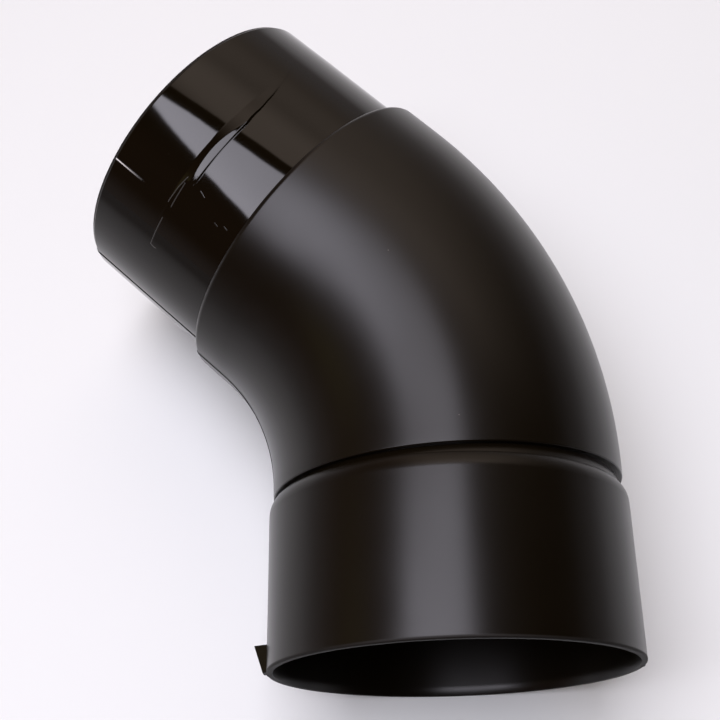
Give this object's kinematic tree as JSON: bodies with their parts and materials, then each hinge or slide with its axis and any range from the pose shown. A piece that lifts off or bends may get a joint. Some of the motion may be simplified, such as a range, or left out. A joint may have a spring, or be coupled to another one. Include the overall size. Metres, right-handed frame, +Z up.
{
  "type": "downspout elbow",
  "caption": "Moulded plastic elbow for a round downspout, with a socket at one end, a gentle bend and a slimmer spigot at the other.",
  "frame": {"origin": "centre of the socket's mouth, on the socket's axis", "axes": "the socket's axis is Y and its mouth faces -Y; the tube bends from +Y towards -X in the XY plane; +Z is up, with the elbow lying on its side"},
  "size_m": [0.1216, 0.1544, 0.0804],
  "materials": {
    "elbow_plastic": "near-black brown rigid PVC, satin on the socket and bend, high gloss on the spigot"
  },
  "bodies": {
    "root": {"elbow": "elbow_plastic"}
  },
  "joints": []
}
